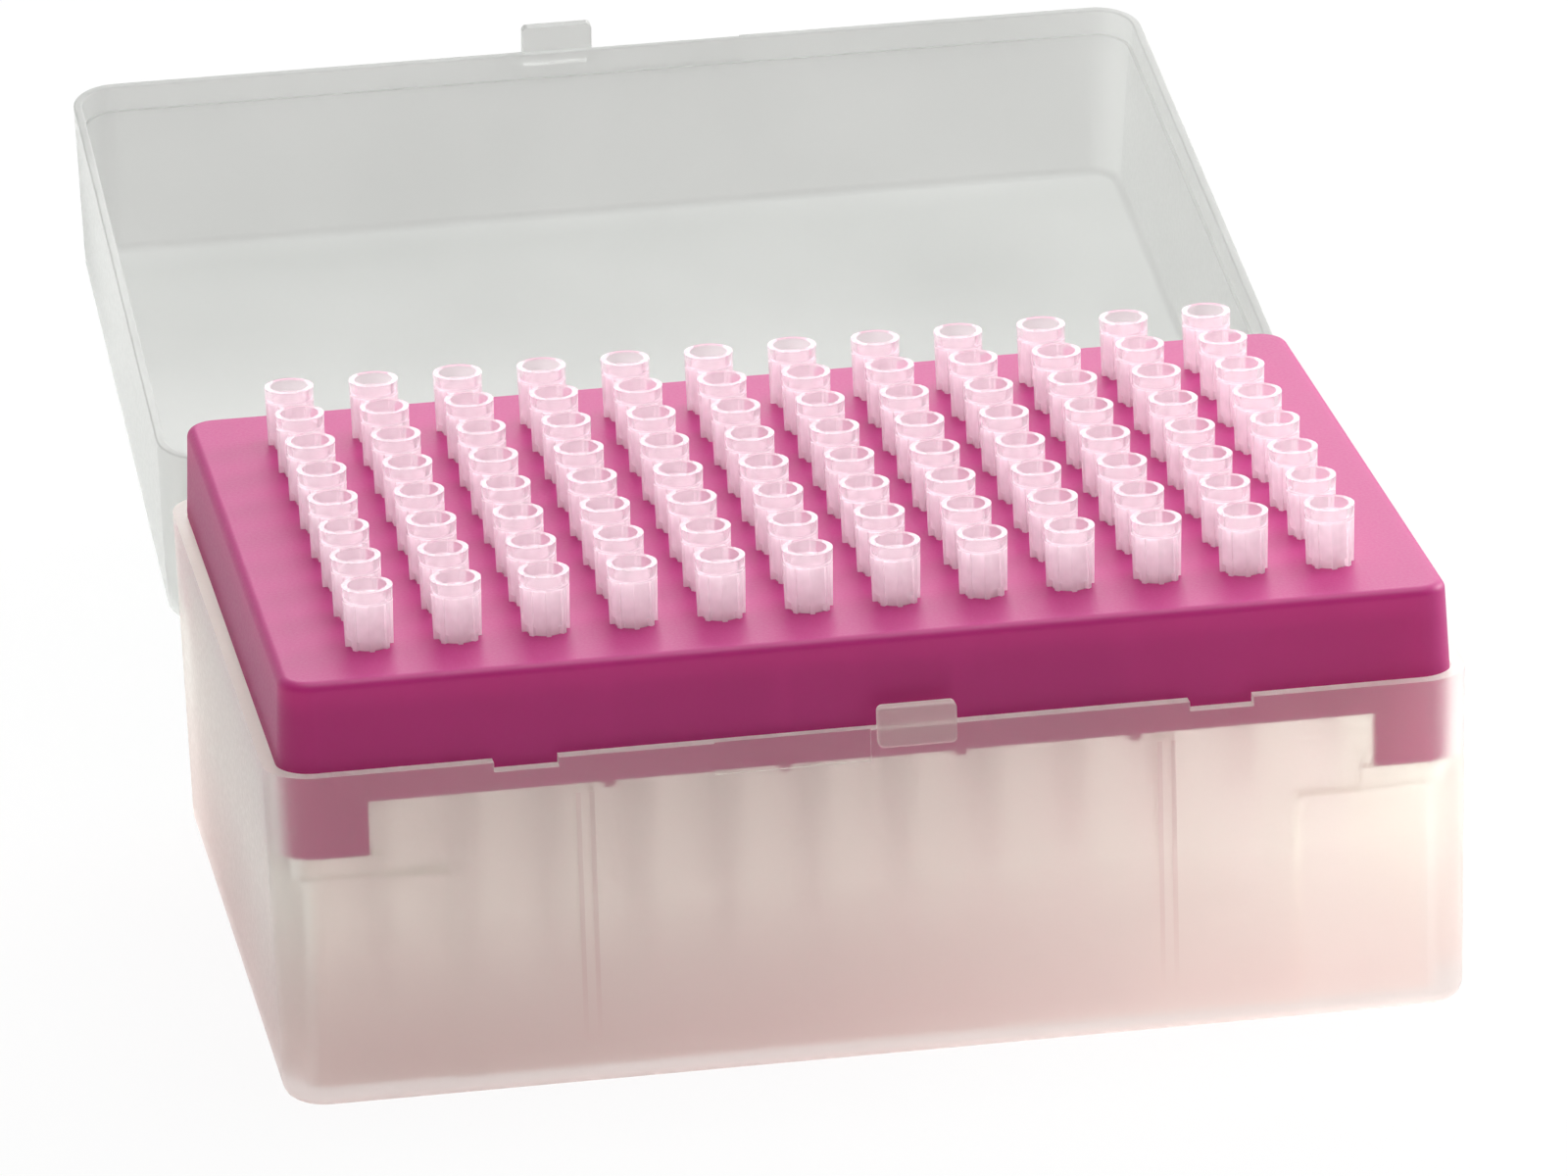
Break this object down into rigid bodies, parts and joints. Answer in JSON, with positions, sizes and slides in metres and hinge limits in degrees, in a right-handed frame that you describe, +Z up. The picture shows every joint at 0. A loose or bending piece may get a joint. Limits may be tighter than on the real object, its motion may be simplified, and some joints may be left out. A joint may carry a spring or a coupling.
{
  "type": "pipette tip box",
  "caption": "Hinged frosted plastic box with a coloured rack of small pipette tips standing in rows inside, its lid laid back on its hinge.",
  "frame": {"origin": "centre of the base box's underside, on the surface it stands on", "axes": "+Z up, +Y from the latch side towards the hinge and the open lid, +X along the hinge, to the right seen from the latch side"},
  "size_m": [0.1236, 0.182, 0.0576],
  "materials": {
    "frosted_base": "frosted natural polypropylene, satin",
    "frosted_lid": "clear frosted polypropylene, satin",
    "magenta_rack": "magenta polypropylene, satin",
    "natural_tip": "natural translucent polypropylene, glossy"
  },
  "bodies": {
    "base": {"base_box": "frosted_base", "tip_rack": "magenta_rack", "tips_column_01": "natural_tip", "tips_column_02": "natural_tip", "tips_column_03": "natural_tip", "tips_column_04": "natural_tip", "tips_column_05": "natural_tip", "tips_column_06": "natural_tip", "tips_column_07": "natural_tip", "tips_column_08": "natural_tip", "tips_column_09": "natural_tip", "tips_column_10": "natural_tip", "tips_column_11": "natural_tip", "tips_column_12": "natural_tip"},
    "lid": {"lid": "frosted_lid"}
  },
  "joints": [
    {"name": "lid_hinge", "type": "hinge", "parent": "base", "child": "lid", "pos_m": [0, 0.0461, 0.0372], "axis": [1, 0, 0], "range_deg": [0, 169.5]}
  ]
}
